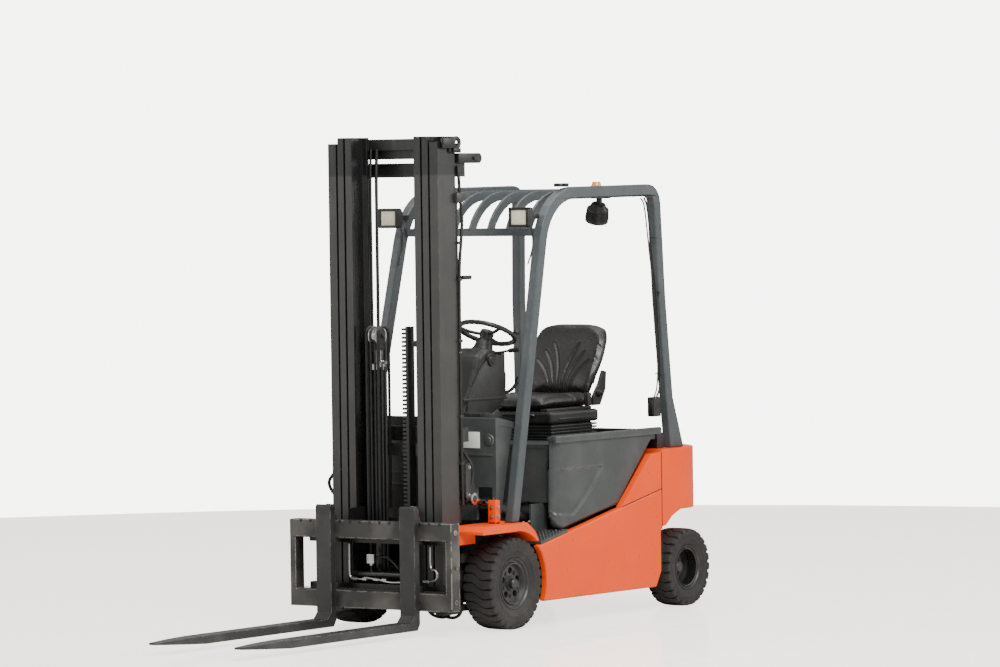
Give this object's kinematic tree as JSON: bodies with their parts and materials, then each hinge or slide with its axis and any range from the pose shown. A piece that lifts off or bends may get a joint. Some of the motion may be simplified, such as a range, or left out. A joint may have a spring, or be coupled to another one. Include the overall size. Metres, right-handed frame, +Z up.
{
  "type": "electric counterbalance forklift truck",
  "caption": "Electric counterbalance forklift with three-stage mast, sideshifting fork carriage, overhead guard, driver's seat and steered rear wheels.",
  "frame": {"origin": "middle of the footprint box, on the ground", "axes": "+Y to the rear along the truck, with the forks towards -Y; +X to the truck's left side; +Z up"},
  "size_m": [1.1, 3.7332, 2.429],
  "materials": {
    "orange_paint": "semi-gloss",
    "cast_weight": "painted orange over a coarse casting",
    "grey_paint": "satin",
    "panel_grey": "satin",
    "mast_paint": "satin, worn to bare steel where it rubs",
    "dark_steel": "black, worn",
    "rim_paint": "satin",
    "battery_case": "matt",
    "chrome_rod": "polished",
    "black_plastic": "moulded",
    "lamp": "clear lens",
    "vinyl": "black vinyl, stitched",
    "tyre": "worn"
  },
  "bodies": {
    "root": {"chassis_frame": "dark_steel", "battery": "battery_case", "battery_bulkhead": "panel_grey", "counterweight": "cast_weight", "drive_axle": "dark_steel", "steer_axle": "dark_steel", "fender_left": "orange_paint", "fender_right": "orange_paint", "floor_plate": "grey_paint", "front_cowl": "panel_grey", "guard_left": "grey_paint", "guard_right": "grey_paint", "guard_roof": "grey_paint", "headlamp_left": "lamp", "headlamp_right": "lamp", "rear_deck": "black_plastic", "rear_lamp": "black_plastic", "rear_panel_left": "orange_paint", "rear_panel_right": "orange_paint", "side_panel_left": "panel_grey", "side_panel_right": "panel_grey", "skirt_left": "orange_paint", "skirt_right": "orange_paint", "steering_column": "black_plastic"},
    "hood": {"hood": "panel_grey", "seat_base": "black_plastic", "seat_cushion": "vinyl", "seat_back": "vinyl"},
    "steering_wheel": {"steering_wheel": "black_plastic"},
    "front_wheel_left": {"front_tyre_left": "tyre", "front_rim_left": "rim_paint"},
    "front_wheel_right": {"front_tyre_right": "tyre", "front_rim_right": "rim_paint"},
    "knuckle_left": {"knuckle_left": "dark_steel"},
    "knuckle_right": {"knuckle_right": "dark_steel"},
    "rear_wheel_left": {"rear_tyre_left": "tyre", "rear_rim_left": "rim_paint"},
    "rear_wheel_right": {"rear_tyre_right": "tyre", "rear_rim_right": "rim_paint"},
    "mast_outer": {"mast_outer": "mast_paint", "lift_cylinder_left": "dark_steel", "lift_cylinder_right": "dark_steel"},
    "mast_middle": {"mast_middle": "mast_paint"},
    "mast_inner": {"mast_inner": "mast_paint", "freelift_cylinder": "dark_steel"},
    "freelift_rod": {"freelift_rod": "chrome_rod"},
    "carriage": {"carriage_base": "mast_paint"},
    "sideshift": {"sideshift_frame": "mast_paint"},
    "fork_left": {"fork_left": "dark_steel"},
    "fork_right": {"fork_right": "dark_steel"},
    "tilt_cylinder_left": {"tilt_cylinder_left": "black_plastic"},
    "tilt_cylinder_right": {"tilt_cylinder_right": "black_plastic"},
    "tilt_rod_left": {"tilt_rod_left": "chrome_rod"},
    "tilt_rod_right": {"tilt_rod_right": "chrome_rod"}
  },
  "joints": [
    {"name": "mast_tilt", "type": "hinge", "parent": "root", "child": "mast_outer", "pos_m": [0, 0.01665, 0.2285], "axis": [1, 0, 0], "range_deg": [-6, 5]},
    {"name": "middle_lift", "type": "slide", "parent": "mast_outer", "child": "mast_middle", "axis": [0, 0, 1], "range_m": [0, 1.55]},
    {"name": "inner_lift", "type": "slide", "parent": "mast_middle", "child": "mast_inner", "axis": [0, 0, 1], "range_m": [0, 1.55]},
    {"name": "carriage_lift", "type": "slide", "parent": "mast_inner", "child": "carriage", "axis": [0, 0, 1], "range_m": [0, 1.55]},
    {"name": "freelift_rod_lift", "type": "slide", "parent": "mast_inner", "child": "freelift_rod", "axis": [0, 0, 1], "range_m": [0, 0.775]},
    {"name": "sideshift", "type": "slide", "parent": "carriage", "child": "sideshift", "axis": [1, 0, 0], "range_m": [-0.1, 0.1]},
    {"name": "fork_left_slide", "type": "slide", "parent": "sideshift", "child": "fork_left", "axis": [1, 0, 0], "range_m": [-0.19, 0.18]},
    {"name": "fork_right_slide", "type": "slide", "parent": "sideshift", "child": "fork_right", "axis": [1, 0, 0], "range_m": [-0.18, 0.19]},
    {"name": "front_wheel_left_spin", "type": "hinge", "parent": "root", "child": "front_wheel_left", "pos_m": [0.4415, 0.01665, 0.2285], "axis": [1, 0, 0], "continuous": true},
    {"name": "front_wheel_right_spin", "type": "hinge", "parent": "root", "child": "front_wheel_right", "pos_m": [-0.4415, 0.01665, 0.2285], "axis": [1, 0, 0], "continuous": true},
    {"name": "steer_left", "type": "hinge", "parent": "root", "child": "knuckle_left", "pos_m": [0.375, 1.55165, 0.201], "axis": [0, 0, 1], "range_deg": [-75, 75]},
    {"name": "steer_right", "type": "hinge", "parent": "root", "child": "knuckle_right", "pos_m": [-0.375, 1.55165, 0.201], "axis": [0, 0, 1], "range_deg": [-75, 75]},
    {"name": "rear_wheel_left_spin", "type": "hinge", "parent": "knuckle_left", "child": "rear_wheel_left", "pos_m": [0.475, 1.55165, 0.201], "axis": [1, 0, 0], "continuous": true},
    {"name": "rear_wheel_right_spin", "type": "hinge", "parent": "knuckle_right", "child": "rear_wheel_right", "pos_m": [-0.475, 1.55165, 0.201], "axis": [1, 0, 0], "continuous": true},
    {"name": "steering_wheel_turn", "type": "hinge", "parent": "root", "child": "steering_wheel", "pos_m": [0, 0.54165, 1.44], "axis": [0, 0.4226, 0.9063], "range_deg": [-720, 720]},
    {"name": "hood_hinge", "type": "hinge", "parent": "root", "child": "hood", "pos_m": [0, 1.38665, 0.915], "axis": [-1, 0, 0], "range_deg": [0, 55]},
    {"name": "tilt_cylinder_left_pivot", "type": "hinge", "parent": "root", "child": "tilt_cylinder_left", "pos_m": [0.3555, 0.37665, 0.52], "axis": [1, 0, 0], "range_deg": [-3, 2.6]},
    {"name": "tilt_cylinder_right_pivot", "type": "hinge", "parent": "root", "child": "tilt_cylinder_right", "pos_m": [-0.3555, 0.37665, 0.52], "axis": [1, 0, 0], "range_deg": [-3, 2.6]},
    {"name": "tilt_rod_left_slide", "type": "slide", "parent": "tilt_cylinder_left", "child": "tilt_rod_left", "axis": [0, -0.9666, 0.2564], "range_m": [-0.042, 0.036]},
    {"name": "tilt_rod_right_slide", "type": "slide", "parent": "tilt_cylinder_right", "child": "tilt_rod_right", "axis": [0, -0.9666, 0.2564], "range_m": [-0.042, 0.036]}
  ],
  "couplings": [
    {"joint": "inner_lift", "follows": "middle_lift", "ratio": 1},
    {"joint": "freelift_rod_lift", "follows": "carriage_lift", "ratio": 0.5},
    {"joint": "steer_right", "follows": "steer_left", "ratio": 1},
    {"joint": "steering_wheel_turn", "follows": "steer_left", "ratio": -9.6},
    {"joint": "tilt_cylinder_left_pivot", "follows": "mast_tilt", "ratio": 0.4611},
    {"joint": "tilt_cylinder_right_pivot", "follows": "mast_tilt", "ratio": 0.4611},
    {"joint": "tilt_rod_left_slide", "follows": "mast_tilt", "m_per_rad": 0.3741},
    {"joint": "tilt_rod_right_slide", "follows": "mast_tilt", "m_per_rad": 0.3741}
  ]
}
